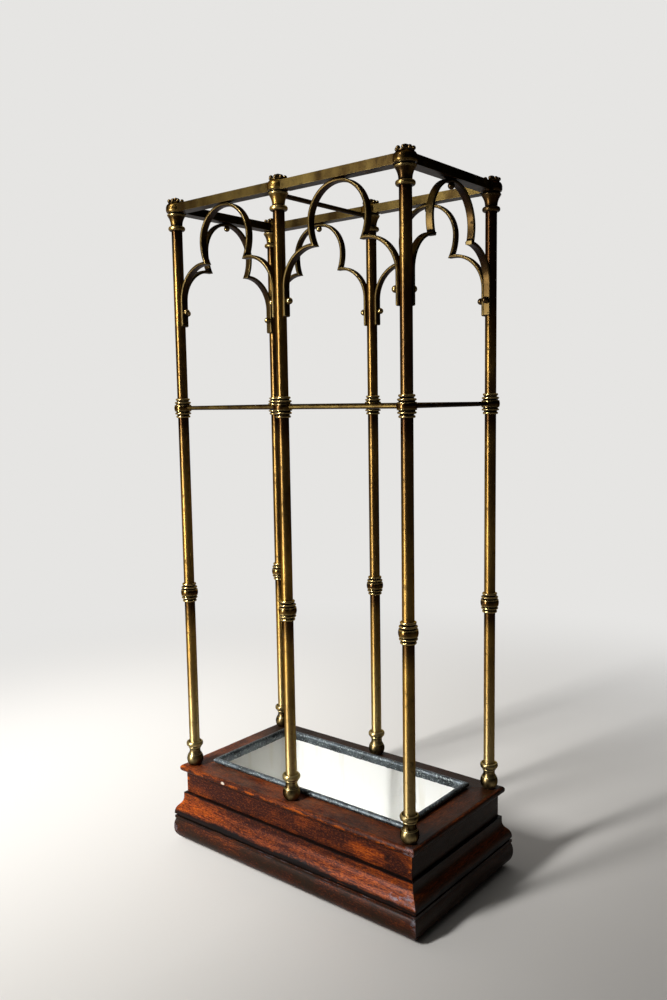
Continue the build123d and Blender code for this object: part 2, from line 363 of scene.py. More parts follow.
def dress(node, material):
    """Gives a CAD node that keeps its shape its finish."""
    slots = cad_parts[node].data.materials
    slots.clear()
    slots.append(material)


def mitred_length(section, half_run, stand_off, cuts=36):
    """One length of a frame, mitred at both ends, from its section of out-distance and height."""
    bm = bmesh.new()
    ring = [bm.verts.new((-half_run - out, -stand_off - out, z)) for out, z in section]
    start = bm.faces.new(ring)
    grown = bmesh.ops.extrude_face_region(bm, geom=[start])
    for vert in (v for v in grown["geom"] if isinstance(v, bmesh.types.BMVert)):
        vert.co.x = -vert.co.x
    long_edges = [e for e in bm.edges if abs(e.verts[0].co.x - e.verts[1].co.x) > half_run]
    bmesh.ops.subdivide_edges(bm, edges=long_edges, cuts=cuts, use_grid_fill=False)
    bmesh.ops.recalc_face_normals(bm, faces=bm.faces)
    return bm


def mitred_ring(section, half_x, half_y):
    """An open frame all round, mitred at its corners, from its section of out-distance and height."""
    bm = bmesh.new()
    loops = []
    for sx, sy in CORNERS:
        verts = [bm.verts.new((sx * (half_x + out), sy * (half_y + out), z)) for out, z in section]
        loops.append([bm.edges.new(pair) for pair in zip(verts, verts[1:])])
    for a, b in zip(loops, loops[1:] + loops[:1]):
        bmesh.ops.bridge_loops(bm, edges=a + b)
    return bm


def unevenness(bm, amount, size, seed):
    """Takes a little off the surface here and there, as in handwork: amount and size are in metres."""
    offset = Vector((seed * 3.7, seed * 1.3, seed * 2.1))
    bm.normal_update()
    for vert in bm.verts:
        vert.co -= vert.normal * (0.5 + 0.5 * noise.noise(vert.co / size + offset)) * amount


# ---------------------------------------------------------------- materials


def add(tree, kind, inputs=None, output=0, **settings):
    """Adds a shader node with its settings, fed with numbers or links, and gives back one of its outputs."""
    node = tree.nodes.new("ShaderNode" + kind)
    for key, value in settings.items():
        setattr(node, key, value)
    for key, value in (inputs or {}).items():
        if isinstance(value, bpy.types.NodeSocket):
            tree.links.new(value, node.inputs[key])
        else:
            node.inputs[key].default_value = value
    return node.outputs[output] if node.outputs else node


def new_material(name):
    """An empty material and what adds a node to it."""
    material = bpy.data.materials.new(name)
    material.use_nodes = True
    material.node_tree.nodes.clear()
    return material, partial(add, material.node_tree)


def patinated_brass(name, film, rubbed, kept_bright, roughness, brushed, handled=0.0):
    """Brass that lost its lacquer long ago, lathe-polished or rolled, under a brown film.

    The eye gets a dark brown metal with a narrow gold streak, brighter crests whose pale colour is a
    painted highlight, black grooves, small black spots of old polish, and painted shade on what faces
    down. Fine scratches round a turned piece draw the streak out along it.
    """
    brass = bpy.context.scene.stand_brass
    material, node = new_material(name)
    here = node("TexCoord", output="Object")
    rise = node("SeparateXYZ", {"Vector": here}, output="Z")
    facing = node("SeparateXYZ", {"Vector": node("NewGeometry", output="Normal")}, output="Z")
    proud, hollow = (node("Attribute", output="Fac", attribute_name=kind) for kind in ("wear", "hollow"))
    # Film in clouds of 30 mm drawn out upwards, specks of black polish of 1 to 2 mm, brown stains of
    # 6 mm, the waver of a hand-drawn tube every 15 mm or so, and pits of 1 mm that catch the light.
    upright = node("Mapping", {"Vector": here, "Scale": (1, 1, 0.4)})
    clouds, specks, stains, waver, pits = (
        node("TexNoise", {
            "Vector": place, "Scale": per_mm(size), "Detail": detail, "Roughness": rough, "Distortion": bent,
        })
        for place, size, detail, rough, bent in (
            (upright, 30, 5, 0.6, 0), (here, 2.4, 6, 0.7, 0), (here, 6, 3, 0.5, 0.6),
            (here, 15, 1, 0.5, 0), (here, 1, 3, 0.5, 0),
        )
    )
    next_collar = COLLAR_LOW + COLLAR_STEP
    section = node("Math", {0: rise, 1: next_collar, 2: COLLAR_LOW}, operation="WRAP")
    # Distance from the top of the back right corner column, which gets a painted shade.
    from_shaded_corner = node(
        "VectorMath", {0: here, 1: (HALF_LENGTH, HALF_WIDTH, FINIAL_LOW)},
        output="Value", operation="DISTANCE",
    )
    fades = {
        "polished": (clouds, 0.38, 0.66, 0.04 * handled, kept_bright),
        # Hands and wet sticks have dulled the lower half, most of all near the plinth; on the tubes its
        # brighter, paler colour is also a painted reflection of the lit floor.
        "lower": (rise, 0.5, 0.25, 0, 1),
        "low_down": (rise, 0.22, 0.1, 0, 0.9),
        # Dusters keep the crests bright, and their pale, whitish colour is a painted highlight; bends under
        # a millimetre count.
        "crests": (proud, 0.3, 0.7, 0, 0.62 if brushed else 0.3),
        # Painted shade: what faces down, and the top of the back right corner column, take the tarnish
        # colour where little light falls. The last 25 mm under each collar is darker, and the finials keep
        # their tarnish.
        "beneath": (facing, -0.2, -0.9, 0, 0.95),
        "under": (section, next_collar - 28 * MM, next_collar - 6 * MM, 0, 0.8 * handled),
        "finials": (rise, FINIAL_LOW - 1 * MM, FINIAL_LOW, 0, 0.8),
        "corner": (from_shaded_corner, 170 * MM, 110 * MM, 0, 0.9 if brushed else 0),
        # Old polish lies in specks, damp has left stains, and dirt fills every groove.
        "specks": (specks, 0.6, 0.7, 0, 0.7),
        "stains": (stains, 0.58, 0.72, 0, 0.5),
        "grooves": (hollow, 0.04, 0.26, 0, 0.96),
    }
    at = SimpleNamespace(**{key: node("MapRange", dict(zip(FADE, row))) for key, row in fades.items()})
    for amount in (at.crests, at.low_down):
        rubbed = node("Mix", {AMOUNT: amount, UNDER: rubbed, OVER: brass.dulled_and_highlight}, **COLOURS)
    bright, tarnish_and_shade, dirty, dull = at.polished, at.beneath, at.specks, roughness - 0.06
    # The tubes are wiped near the plinth and brightened there with a painted reflection of the lit floor,
    # and the feet are not.
    near_plinth = 0.35 if handled else -0.35
    for amount, share in ((at.lower, 0.2 * handled), (at.crests, 1), (at.low_down, near_plinth)):
        bright = node("Math", {0: amount, 1: share, 2: bright}, operation="MULTIPLY_ADD", use_clamp=True)
    # Painted shade on what faces down and on the corner's top, and the darker band under the collars and the
    # finials' tarnish, share one mask.
    for amount in (at.under, at.finials, at.corner):
        tarnish_and_shade = node("Math", {0: tarnish_and_shade, 1: amount}, operation="MAXIMUM")
    for amount in (at.stains, at.grooves):
        dirty = node("Math", {0: dirty, 1: amount}, operation="MAXIMUM")
    shown = film
    for amount, laid in ((bright, rubbed), (tarnish_and_shade, brass.tarnish), (dirty, brass.grime)):
        shown = node("Mix", {AMOUNT: amount, UNDER: shown, OVER: laid}, **COLOURS)
    for amount, share in ((clouds, 0.12), (dirty, 0.25), (at.lower, 0.12 * handled)):
        dull = node("Math", {0: amount, 1: share, 2: dull}, operation="MULTIPLY_ADD")
    # Painted shade on what faces down, and thick dirt, hide the metal and its gloss.
    shade_and_dirt = node("Math", {0: at.beneath, 1: dirty}, operation="MAXIMUM")
    bare = node("MapRange", {"Value": shade_and_dirt, "To Min": 1.0, "To Max": 0.0})
    gloss = node("MapRange", {"Value": shade_and_dirt, "To Min": 0.5, "To Max": 0.05})
    relief = node("Math", {0: pits, 1: 0.08, 2: waver}, operation="MULTIPLY_ADD")
    relief = node("Bump", {"Height": relief, "Strength": 0.3, "Distance": 0.35 * MM})
    up = node("CombineXYZ", {"Z": 1.0})
    shader = node("BsdfPrincipled", {
        "Base Color": shown, "Metallic": bare, "Roughness": dull, "Normal": relief,
        "Specular IOR Level": gloss, "Specular Tint": shown, "Anisotropic": brushed, "Tangent": up,
    })
    node("OutputMaterial", {"Surface": shader})
    return material


def scaled_iron():
    """Mild steel rod with its black mill scale: near black and dull, with a little rust."""
    brass = bpy.context.scene.stand_brass
    material, node = new_material("scaled_iron")
    here = node("TexCoord", output="Object")
    rust = node("TexNoise", {"Vector": here, "Scale": per_mm(5), "Detail": 4.0})
    rust = node("MapRange", {"Value": rust, "From Min": 0.5, "From Max": 0.7, "To Max": 0.6})
    shown = node("Mix", {AMOUNT: rust, UNDER: brass.iron, OVER: brass.rust}, **COLOURS)
    dull = node("MapRange", {"Value": rust, "From Max": 0.6, "To Min": 0.45, "To Max": 0.85})
    shader = node("BsdfPrincipled", {"Base Color": shown, "Metallic": 0.8, "Roughness": dull})
    node("OutputMaterial", {"Surface": shader})
    return material


def spot(node, here, offset, size, stretch, edge):
    """A mark, 1 inside and 0 outside, its outline broken by a pattern and drawn out along X.

    Its offset from the front right column's axis at the plinth's top, and its size, are in millimetres.
    """
    place = (HALF_LENGTH + offset[0] * MM, -HALF_WIDTH + offset[1] * MM, PLINTH_TOP + offset[2] * MM)
    size = size * MM
    away = node("VectorMath", {0: here, 1: place}, operation="SUBTRACT")
    away = node("VectorMath", {0: away, 1: (1 / stretch, 1, 1)}, operation="MULTIPLY")
    away = node("VectorMath", {0: away}, output="Value", operation="LENGTH")
    away = node("Math", {0: edge, 1: -size, 2: away}, operation="MULTIPLY_ADD")
    return node("MapRange", {"Value": away, "From Min": 0.7 * size, "From Max": 0.3 * size})


def polished_pine(name, along, warmth, gloss, edges, shift):
    """Softwood stained red-brown and French-polished, its shellac crazed and rubbed through.

    The eye gets a dark gloss full of small orange flecks, wood grain where the polish is thin, black wax
    in and beside the quirks, orange or grey lengths of worn edge, and dust on what faces up. Painted light
    and shade: upward faces are warmer, the tops paler at the left end, what faces right and the tops at
    the right end and back near black, and a grey highlight on the ogee's swell.
    """
    wood = bpy.context.scene.stand_wood
    material, node = new_material(name)
    here = node("TexCoord", output="Object")
    x, y, rise = node("SeparateXYZ", {"Vector": here}).node.outputs
    normal = node("NewGeometry", output="Normal")
    facing_right, _, facing_up = node("SeparateXYZ", {"Vector": normal}).node.outputs
    wear, hollow = (node("Attribute", output="Fac", attribute_name=kind) for kind in ("wear", "hollow"))
    # Fibres run ten times as far along the board as across it, and the polish wears in patches twice as long.
    fibre_place, patch_place = (
        node("Mapping", {
            "Vector": here, "Location": (shift, shift, 0),
            "Scale": (run, 1, 1) if along == "X" else (1, run, 1),
        })
        for run in (0.1, 0.45)
    )
    fibres, broad, patches, crazing, chips = (
        node("TexNoise", {"Vector": place, "Scale": per_mm(size), "Detail": detail, "Roughness": rough})
        for place, size, detail, rough in (
            (fibre_place, 1.1, 4, 0.6), (patch_place, 45, 2, 0.5), (patch_place, 14, 5, 0.65),
            (patch_place, 1.2, 4, 0.7), (patch_place, 6, 6, 0.75),
        )
    )
    fades = {
        # Painted light: what faces a little upward shows more of the warm red wood, and what faces down less,
        # as if lit from above.
        "handled": (facing_up, -0.3, 0.5, -0.25, 0.3),
        "grain": (fibres, 0.45, 0.62, 0, 1),
        "flecks": (crazing, 0.53, 0.62, 0, 1),
        "crazes": (crazing, 0.5, 0.32, 0, 0.6),
        "pores": (fibres, 0.46, 0.36, 0, 0.75),
        "foot": (rise, 3 * MM, 1 * MM, 0, 0.6),
        "proud": (wear, 0.28, 0.65, 0, 1),
        "broken": (chips, 0.5, 0.58, 0, 0.85),
        "chipped": (chips, 0.7, 0.72, 0, 1),
        "upward": (facing_up, 0.7, 0.98, 0, 0.55),
        "settled": (patches, 0.36, 0.64, 0, 1),
        "left_end": (x, 0.16, 0.06, 0.15, 1),
        "right_end": (x, 0.095, 0.15, 0, 1.55),
        "back": (y, 0.02, 0.06, 0, 1.6),
        "right_side": (facing_right, 0.3, 0.9, 0, 0.88),
        "mud": (patches, 0.4, 0.6, 0.3, 0.9),
        "low_down": (rise, 31 * MM, 27 * MM, 0, 1),
        "less_wax": (x, -HALF_LENGTH, 0.7 * HALF_LENGTH, -0.5 * MM, 0.4 * MM),
        "creased": (hollow, 0.22, 0.5, 0, 0.97),
        "dull": (chips, 0.3, 0.7, 0.28, 0.5),
    }
    at = SimpleNamespace(**{key: node("MapRange", dict(zip(FADE, row))) for key, row in fades.items()})
    # A hand's length of the frieze rubbed to its grain, a knot beside it, a fresh chip on the nose,
    # and the front right corner knocked grey; the grey on the swell under it is a painted highlight.
    streak, knot, fresh, knocked, swell = (
        spot(node, here, *mark)
        for mark in (
            ((-44, 0, -23), 10, 3, patches), ((-21, -6.8, -20), 3.2, 1, crazing),
            ((-231, -12, -4), 1.5, 1.7, crazing), ((8, -11, -4), 7, 1, crazing),
            ((8, -17, -47), 5.5, 3.5, crazing),
        )
    )
    # Broad areas of thin polish show redder wood and its grain.
    thin = node("Math", {0: broad, 1: 1.4, 2: patches}, operation="MULTIPLY_ADD")
    thin = node("Math", {0: thin, 1: at.handled}, operation="ADD")
    thin = node("MapRange", {"Value": thin, "From Min": 1.5 - warmth, "From Max": 2.1 - warmth})
    thin = node("Math", {0: thin, 1: streak}, operation="ADD", use_clamp=True)
    half_thin = node("Math", {0: thin, 1: 0.5}, operation="MULTIPLY")
    grain = node("Math", {0: at.grain, 1: half_thin}, operation="MULTIPLY")
    # Orange flecks a millimetre or two across, as many dark ones, and black pores along the grain.
    many = node("MapRange", {"Value": thin, "To Min": 0.22, "To Max": 0.7})
    flecks = node("Math", {0: at.flecks, 1: many}, operation="MULTIPLY")
    dark = node("Math", {0: knot, 1: 0.75, 2: at.crazes}, operation="MULTIPLY_ADD", use_clamp=True)
    dark = node("Math", {0: dark, 1: at.pores}, operation="MAXIMUM")
    # The bottom edge is scuffed, and wear follows the other edges in lengths of a few millimetres.
    scuffed = node("Math", {0: at.foot, 1: patches}, operation="MULTIPLY")
    rubbed = node("Math", {0: at.proud, 1: at.broken}, operation="MULTIPLY")
    chipped = node("Math", {0: at.proud, 1: at.chipped}, operation="MULTIPLY")
    chipped = node("Math", {0: chipped, 1: fresh}, operation="MAXIMUM")
    # The swell's grey is a painted highlight, the corner's a knocked bloom.
    knocked = node("Math", {0: knocked, 1: swell}, operation="MAXIMUM")
    knocked = node("Math", {0: knocked, 1: at.broken}, operation="MULTIPLY")
    # Dust lies on what faces up, mostly at the left end, so the tops are paler there and darker to the right:
    # in part a painted reflection of the lit left side.
    dust_and_reflection = node("Math", {0: at.upward, 1: at.settled}, operation="MULTIPLY")
    dust_and_reflection = node("Math", {0: dust_and_reflection, 1: at.left_end}, operation="MULTIPLY")
    # Painted shade: what faces right is darkened near black, and so are the tops at the right end and
    # along the back, a painted shade and dark reflection; floor dirt has dulled the base.
    black = node("Math", {0: at.right_end, 1: at.back}, operation="MAXIMUM")
    black = node("Math", {0: black, 1: at.upward}, operation="MULTIPLY")
    black = node("Math", {0: black, 1: at.right_side}, operation="MAXIMUM")
    dirt_and_shade = node("Math", {0: at.mud, 1: at.low_down}, operation="MULTIPLY")
    dirt_and_shade = node("Math", {0: dirt_and_shade, 1: black}, operation="MAXIMUM")
    # Old wax lies 2 or 3 mm to each side of the joint over the ogee, and further at the left of the
    # one under it.
    over = node("Math", {0: rise, 1: height("plinth_ogee_front", 1)}, operation="SUBTRACT")
    over = node("Math", {0: over}, operation="ABSOLUTE")
    under = node("Math", {0: rise, 1: height("plinth_ogee_front", 0) + 1.5 * MM}, operation="SUBTRACT")
    under = node("Math", {0: under}, operation="ABSOLUTE")
    under = node("Math", {0: under, 1: 0.32, 2: at.less_wax}, operation="MULTIPLY_ADD")
    gap = node("Math", {0: over, 1: under}, operation="MINIMUM")
    gap = node("Math", {0: patches, 1: 3 * MM, 2: gap}, operation="MULTIPLY_ADD")
    waxed = node("MapRange", {"Value": gap, "From Min": 2.9 * MM, "From Max": 2.1 * MM, "To Max": 0.96})
    waxed = node("Math", {0: waxed, 1: at.creased}, operation="MAXIMUM")
    shown = wood.stain
    for amount, laid in (
        (thin, wood.warm), (grain, wood.worn), (flecks, wood.worn), (dark, wood.grime),
        (scuffed, wood.worn), (rubbed, edges), (chipped, wood.chip), (knocked, wood.bloom),
        (dust_and_reflection, wood.dust), (dirt_and_shade, wood.dirt), (waxed, wood.grime),
    ):
        shown = node("Mix", {AMOUNT: amount, UNDER: shown, OVER: laid}, **COLOURS)
    dull = at.dull
    for amount in (rubbed, dust_and_reflection):
        dull = node("Math", {0: amount, 1: 0.25, 2: dull}, operation="MULTIPLY_ADD")
    relief = node("Math", {0: fibres, 1: 0.4, 2: crazing}, operation="MULTIPLY_ADD")
    relief = node("Bump", {"Height": relief, "Strength": 0.5, "Distance": 0.3 * MM})
    shader = node("BsdfPrincipled", {
        "Base Color": shown, "Roughness": dull, "Normal": relief, "IOR": 1.5,
        "Specular IOR Level": 0.06, "Coat Weight": gloss, "Coat Roughness": 0.2,
    })
    node("OutputMaterial", {"Surface": shader})
    return material


def sawn_pine():
    """Unpolished softwood, sawn and gone grey-brown with dust."""
    wood = bpy.context.scene.stand_wood
    material, node = new_material("sawn_pine")
    here = node("TexCoord", output="Object")
    along = node("Mapping", {"Vector": here, "Scale": (0.06, 1, 1)})
    rings = node("TexNoise", {"Vector": along, "Scale": per_mm(4), "Detail": 4.0})
    rings = node("MapRange", {"Value": rings, "From Min": 0.4, "From Max": 0.65, "To Max": 0.8})
    shown = node("Mix", {AMOUNT: rings, UNDER: wood.bare, OVER: wood.latewood}, **COLOURS)
    fibres = node("TexNoise", {"Vector": along, "Scale": per_mm(0.8), "Detail": 3.0})
    relief = node("Bump", {"Height": fibres, "Strength": 0.4, "Distance": 0.3 * MM})
    shader = node("BsdfPrincipled", {"Base Color": shown, "Roughness": 0.85, "Normal": relief})
    node("OutputMaterial", {"Surface": shader})
    return material


def old_zinc(name="old_zinc", paint_top=None):
    """Sheet zinc, folded and soldered by hand, with brushed white oil paint up to an uneven line inside.

    The eye gets a dull blue-grey metal, sooty in clouds and freckled with white oxide, and a bright
    paint that water has yellowed in runs.
    """
    tray = bpy.context.scene.stand_tray
    material, node = new_material(name)
    here = node("TexCoord", output="Object")
    clouds = node("TexNoise", {"Vector": here, "Scale": per_mm(14), "Detail": 5.0})
    freckles = node("TexNoise", {"Vector": here, "Scale": per_mm(2.2), "Detail": 6.0, "Roughness": 0.75})
    soot = node("MapRange", {"Value": clouds, "From Min": 0.42, "From Max": 0.62, "To Max": 0.85})
    shown = node("Mix", {AMOUNT: soot, UNDER: tray.zinc, OVER: tray.soot}, **COLOURS)
    oxide = node("MapRange", {"Value": freckles, "From Min": 0.54, "From Max": 0.62})
    shown = node("Mix", {AMOUNT: oxide, UNDER: shown, OVER: tray.oxide}, **COLOURS)
    dull = node("MapRange", {"Value": oxide, "To Min": 0.42, "To Max": 0.7})
    relief = node("Bump", {"Height": freckles, "Strength": 0.4, "Distance": 0.25 * MM})
    metallic = 0.6
    if paint_top:
        hanging = node("Mapping", {"Vector": here, "Scale": (1, 1, 0.15)})
        runs = node("TexNoise", {"Vector": hanging, "Scale": per_mm(12), "Detail": 3.0})
        runs = node("MapRange", {"Value": runs, "From Min": 0.56, "From Max": 0.8, "To Max": 0.35})
        paint = node("Mix", {AMOUNT: runs, UNDER: tray.paint, OVER: tray.stained_paint}, **COLOURS)
        ragged = node("TexNoise", {"Vector": here, "Scale": per_mm(6), "Detail": 4.0})
        rise = node("SeparateXYZ", {"Vector": here}, output="Z")
        edge = node("Math", {0: ragged, 1: 2 * MM, 2: rise}, operation="MULTIPLY_ADD")
        painted = node("Math", {0: edge, 1: paint_top + 1 * MM}, operation="LESS_THAN")
        shown = node("Mix", {AMOUNT: painted, UNDER: shown, OVER: paint}, **COLOURS)
        metallic = node("MapRange", {"Value": painted, "To Min": metallic, "To Max": 0.0})
        dull = node("Mix", {AMOUNT: painted, LOW: dull, HIGH: 0.5})
    shader = node("BsdfPrincipled", {
        "Base Color": shown, "Metallic": metallic, "Roughness": dull, "Normal": relief,
    })
    node("OutputMaterial", {"Surface": shader})
    return material


def backdrop_seen(node, direction):
    """How much of the pale backdrop a ray meets: all for the camera, and the lit side for gloss."""
    facing = node("VectorMath", {0: direction, 1: LIT_SIDE}, output="Value", operation="DOT_PRODUCT")
    lit = node("MapRange", {"Value": facing, "From Min": 0.1, "From Max": 0.9, "To Max": 0.5})
    ray = node("LightPath", output="Is Camera Ray").node.outputs
    gloss = node("Math", {0: ray["Is Glossy Ray"], 1: ray["Is Transmission Ray"]}, operation="ADD")
    return node("Math", {0: gloss, 1: lit, 2: ray["Is Camera Ray"]}, operation="MULTIPLY_ADD")


def seamless_paper(floor, shade, backdrop):
    """Matt background paper that takes the stand's shadow, and further off is the backdrop's colour."""
    material, node = new_material("seamless_paper")
    here = node("TexCoord", output="Object")
    away = node("VectorMath", {0: here}, output="Value", operation="LENGTH")
    # From 0.25 m to 1.2 m from the stand's middle, the paper gives way to the backdrop.
    far = node(
        "MapRange", {"Value": away, "From Min": 0.25, "From Max": 1.2}, interpolation_type="SMOOTHSTEP"
    )
    direction = node("VectorMath", {0: here}, operation="NORMALIZE")
    far = node("Math", {0: far, 1: backdrop_seen(node, direction)}, operation="MULTIPLY")
    # Its colour is darker on the right, a painted shade where less of the light falls.
    aside = node("SeparateXYZ", {"Vector": here})
    aside = node("MapRange", {"Value": aside, "From Min": 0.0, "From Max": 0.5, "To Max": 0.5})
    toned = node("Mix", {AMOUNT: aside, UNDER: floor, OVER: shade}, **COLOURS)
    near = node("BsdfDiffuse", {"Color": toned})
    beyond = node("Emission", {"Color": backdrop})
    node("OutputMaterial", {"Surface": node("MixShader", {0: far, 1: near, 2: beyond})})
    return material


def finish(name):
    """A finish that several pieces share, made the first time that it is asked for."""
    brass = bpy.context.scene.stand_brass
    # Each brass's film, rubbed colour, brightest cloud, roughness, brushing and handling.
    brasses = {
        "polished_brass_tube": (brass.film, brass.rubbed, 0.36, 0.34, 0.88, 1.0),
        "turned_brass": (brass.bar_film, brass.rubbed, 0.9, 0.31, 0.2),
        "grooved_brass": (brass.film, brass.rubbed, 0.3, 0.22, 0.2),
        "rolled_brass_bar": (brass.bar_film, brass.bar_rubbed, 0.55, 0.34, 0.0),
        "bent_brass_bar": (brass.bar_film, brass.bar_rubbed, 0.12, 0.38, 0.0),
        # The end arches' bar is a darker copy of the same brass, a painted shade.
        "shaded_brass_bar": (brass.bar_film, brass.bar_rubbed, 0.0, 0.36, 0.0),
    }
    others = {"scaled_iron": scaled_iron, "sawn_pine": sawn_pine, "old_zinc": old_zinc}
    made = bpy.data.materials.get(name)
    return made or (patinated_brass(name, *brasses[name]) if name in brasses else others[name]())


# ---------------------------------------------------------------- operators


class STAND_OT_tubes(bpy.types.Operator):
    """Make the six column tubes, very slightly uneven so that their highlights waver"""

    bl_idname = "stand.tubes"
    bl_label = "Tubes"

    def execute(self, context):
        wall, rows = 1.05 * MM, 60
        # Waves per metre across and along the tube, and their depth as a share of its radius.
        across, along, depth = 60, 14, 0.006
        low, high = TUBE_LOW.z, TUBE_HIGH.z
        heights = [low + (high - low) * i / rows for i in range(rows + 1)]
        outline = [(TUBE_R, z) for z in heights] + [(TUBE_R - wall, high), (TUBE_R - wall, low)]
        for index, (name, place) in enumerate(COLUMNS.items()):
            bm = turned(outline, context.scene.stand_turning.steps)
            for vert in (v for v in bm.verts if v.co.xy.length > TUBE_R - wall / 2):
                x, y, z = vert.co
                wave = noise.noise(Vector((x * across, y * across + index, z * along)))
                vert.co.xy *= 1 + min(wave, 0) * depth
            bmesh.ops.translate(bm, vec=(place.x, place.y, 0), verts=bm.verts)
            node = "column_tube_" + name
            finish_piece(node + "_drawn", bm, [finish("polished_brass_tube")], "stand", [node])
        return {"FINISHED"}


class STAND_OT_castings(bpy.types.Operator):
    """Make the turned castings on the columns: feet, collars, capitals, bosses and finials"""

    bl_idname = "stand.castings"
    bl_label = "Castings"

    def on_columns(self, name, outline, node, start, extra=None, brass="turned_brass"):
        """The same turned casting on every column, its outline in millimetres above a start."""
        bm = turned([(r * MM, h * MM) for r, h in outline], bpy.context.scene.stand_turning.steps)
        if extra:
            extra(bm)
        bm = repeated(bm, [Vector((p.x, p.y, start)) for p in COLUMNS.values()])
        finish_piece(name, bm, [finish(brass)], "stand", [node])

    def foot(self):
        """Ball, hollow neck with a fine band, and a heavy ring with a dished top."""
        outline = [(BORE, 0), (6.2, 0)] + bowed((6.4, 0.2), (7.3, 12.3), 2.0, 14) + [(6.8, 12.5)]
        outline += bowed((6.8, 12.8), (5.95, 18.5), -0.5, 8) + bead(18.7, 20.4, 6.3, 6.8, 5)
        outline += [(6.1, 20.7)] + bead(21.0, 26.6, 7.2, 9.0, 12)
        outline += [(6.9, 26.4), (6.1, 25.4), (5.8, 24.9), (BORE, 24.9)]
        self.on_columns("turned_feet", outline, "feet", PLINTH_TOP)

    def collar(self, name, node):
        """Barrel between two rings at each end, with fine grooves between them."""
        half = bead(-10.1, -7.8, 6.5, 7.4, 6) + [(6.3, -7.6), (6.3, -6.8)]
        half += bead(-6.6, -4.6, 7.4, 8.4, 6) + [(7.2, -4.4), (7.2, -3.6)]
        barrel = bead(-3.4, -2.7, 8.4, 8.75, 3) + bowed((8.7, -2.5), (8.7, 2.5), 0.4, 10)
        barrel += bead(2.7, 3.4, 8.4, 8.75, 3)
        other_half = [(r, -h) for r, h in half[::-1]]
        outline = [(BORE, -10.1)] + half + barrel + other_half + [(BORE, 10.1)]
        self.on_columns(name, outline, node, middle(node).z, brass="grooved_brass")

    def capital(self):
        """Bell capital rising from an astragal, its rounded lip over a groove."""
        low, high = levels("capitals")
        top = high - low
        lip = top - 1.8
        outline = [(BORE, 0), (6.2, 0)] + bead(0.1, 4.7, 6.8, 8.6, 10) + [(6.1, 4.9)]
        outline += flared((5.95, 5.3), (9.1, lip - 1.6)) + bead(lip - 1.5, lip, 9.0, 9.4, 5)
        outline += [(8.3, lip + 0.1), (8.3, top), (BORE, top)]
        self.on_columns("bell_capitals", outline, "capitals", low * MM)

    def boss(self):
        """Bun with rounded shoulders."""
        low, high = levels("bosses")
        top = high - low
        outline = [(2.8, 0), (9.4, 0)] + bowed((9.6, 0.1), (10.4, 2.6), 0.25, 5)
        outline += bowed((10.4, 3.6), (7.0, top), 1.1, 12) + [(2.8, top)]
        self.on_columns("column_bosses", outline, "bosses", low * MM)

    def finial(self):
        """Low crown: a ring of beads round a taller knob."""
        turning = bpy.context.scene.stand_turning
        low, high = levels("finial_nuts")
        top = high - low
        ring, seat = 7.0 * MM, 1.9 * MM

        def beads(bm):
            for i in range(turning.bead_count):
                turn = math.tau * (i + 0.5) / turning.bead_count
                place = Matrix.Translation((ring * math.cos(turn), ring * math.sin(turn), seat))
                bmesh.ops.create_uvsphere(
                    bm, u_segments=20, v_segments=12, radius=turning.bead_size / 2, matrix=place
                )

        outline = [(0, 0), (7.4, 0), (7.6, 0.5), (7.2, 1.0), (5.2, 1.3), (3.2, 1.8), (2.1, 2.3)]
        outline += bead(2.3, top, 1.9, 2.9, 10)[:-3] + [(1.2, top - 0.1), (0, top)]
        self.on_columns("beaded_finials", outline, "finial_nuts", low * MM, beads)

    def execute(self, context):
        self.foot()
        self.collar("ringed_lower_collars", "lower_collars")
        self.collar("ringed_mid_collars", "mid_collars")
        self.capital()
        self.boss()
        self.finial()
        dress("tie_rods", finish("scaled_iron"))
        return {"FINISHED"}


class STAND_OT_bars(bpy.types.Operator):
    """Make the top rails, with eased edges, and finish the round rods"""

    bl_idname = "stand.bars"
    bl_label = "Rails and rods"

    def execute(self, context):
        brass = finish("rolled_brass_bar")
        for node in named("top_rail_"):
            bm = solid_copy(node)
            eased(bm, sharp_edges(bm), context.scene.stand_turning.rail_edge)
            finish_piece(node + "_eased", bm, [brass], "stand", [node], flat_faces=True)
        for node in (*named("mid_rod_"), "mid_cross_rod", "top_cross_bar"):
            dress(node, brass)
        return {"FINISHED"}


